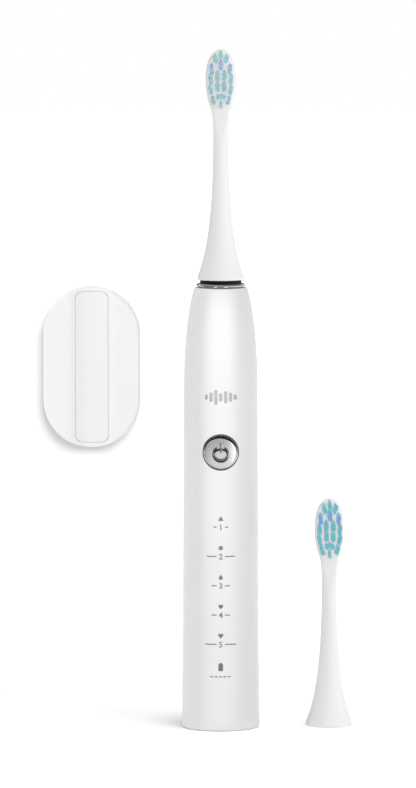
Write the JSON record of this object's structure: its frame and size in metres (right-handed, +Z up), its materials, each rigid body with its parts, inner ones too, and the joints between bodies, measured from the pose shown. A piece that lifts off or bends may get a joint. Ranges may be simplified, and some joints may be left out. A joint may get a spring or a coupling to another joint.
{
  "type": "electric toothbrush",
  "caption": "Upright sonic toothbrush with a pull-off brush head and a power button, shown with a spare head and a grooved wall holder.",
  "frame": {"origin": "centre of the handle's base, on the surface that it stands on", "axes": "+Z up along the handle, the button and the bristles face -Y, the wall holder is at -X and the spare head at +X"},
  "size_m": [0.1138, 0.0342, 0.2486],
  "materials": {
    "shell_white": "satin white moulded plastic",
    "head_white": "smooth white moulded plastic",
    "cap_white": "fine-textured white plastic",
    "chrome_trim": "polished chrome plate",
    "button_satin": "satin metal-look disc",
    "dark_plastic": "dark moulded plastic",
    "black_rubber": "black moulded rubber",
    "foot_rubber": "grey moulded rubber",
    "grey_ink": "grey translucent inlay",
    "teal_bristle": "teal nylon filament",
    "blue_bristle": "blue nylon filament",
    "brass_wire": "bright brass wire",
    "copper_wire": "enamelled copper winding",
    "steel": "bright steel",
    "dark_steel": "laminated or plated dark steel",
    "bronze": "sintered bronze",
    "ferrite": "matt sintered ferrite",
    "frame_plastic": "natural moulded plastic",
    "battery_sleeve": "blue shrink sleeve over a metal can",
    "board_green": "solder-masked board",
    "lens_clear": "frosted clear acrylic",
    "membrane_grey": "silicone rubber",
    "wire_red": "silicone wire sleeve",
    "strip_white": "soft-touch white strip",
    "adhesive_foam": "dark adhesive foam"
  },
  "bodies": {
    "handle": {"handle_shell": "shell_white", "bottom_cap": "cap_white", "foot_ring": "foot_rubber", "cap_oring": "black_rubber", "coil_bobbin": "frame_plastic", "charge_coil": "copper_wire", "coil_ferrite": "ferrite", "chassis": "frame_plastic", "battery": "battery_sleeve", "battery_tabs": "steel", "circuit_board": "board_green", "mode_leds": "lens_clear", "light_guides": "lens_clear", "mode_windows": "grey_ink", "board_chips": "dark_plastic", "frame_screws": "steel", "switch_housing": "dark_plastic", "button_membrane": "membrane_grey", "button_frame": "dark_plastic", "motor_can": "steel", "motor_rear_cap": "dark_steel", "motor_bushes": "bronze", "stator_poles": "dark_steel", "motor_coils": "copper_wire", "motor_dampers": "black_rubber", "centering_spring": "steel", "shaft_seal": "black_rubber", "chrome_ring": "chrome_trim", "neck_gasket": "black_rubber", "motor_leads": "wire_red", "coil_leads": "wire_red"},
    "power_button": {"button_cap": "button_satin", "button_rim": "chrome_trim", "power_symbol": "chrome_trim"},
    "switch_button": {"switch_plunger": "brass_wire"},
    "rotor": {"rotor_core": "dark_steel", "rotor_magnets": "dark_steel", "drive_shaft": "steel"},
    "brush_head": {"head_body": "head_white", "teal_tufts": "teal_bristle", "blue_tufts": "blue_bristle", "tuft_anchors": "brass_wire", "shaft_socket": "cap_white", "socket_clip": "steel", "skirt_ring": "cap_white"},
    "spare_head": {"spare_head_body": "head_white", "spare_teal_tufts": "teal_bristle", "spare_blue_tufts": "blue_bristle", "spare_tuft_anchors": "brass_wire", "spare_socket": "cap_white", "spare_clip": "steel", "spare_skirt_ring": "cap_white"},
    "wall_holder": {"holder_shell": "shell_white", "holder_strip": "strip_white", "holder_magnets": "steel", "holder_back_plate": "cap_white", "adhesive_pad": "adhesive_foam"}
  },
  "joints": [
    {"name": "shaft_swing", "type": "hinge", "parent": "handle", "child": "rotor", "pos_m": [0, 0, 0.137], "axis": [0, 0, 1], "range_deg": [-6, 6], "stiffness_Nm_per_rad": 0.5, "deforming": ["centering_spring"]},
    {"name": "head_pull", "type": "slide", "parent": "rotor", "child": "brush_head", "axis": [0, 0, 1], "range_m": [0, 0.03]},
    {"name": "button_press", "type": "slide", "parent": "handle", "child": "power_button", "axis": [0, 1, 0], "range_m": [0, 0.0006], "stiffness_N_per_m": 4000, "springref_m": -0.0002, "deforming": ["button_membrane"]},
    {"name": "switch_travel", "type": "slide", "parent": "handle", "child": "switch_button", "axis": [0, 1, 0], "range_m": [0, 0.0003]},
    {"name": "spare_lift", "type": "slide", "parent": "handle", "child": "spare_head", "axis": [0, 0, 1], "range_m": [0, 0.12]},
    {"name": "holder_pull", "type": "slide", "parent": "handle", "child": "wall_holder", "axis": [0, -1, 0], "range_m": [0, 0.06]}
  ],
  "couplings": [
    {"joint": "switch_travel", "follows": "button_press", "ratio": 0.5}
  ]
}
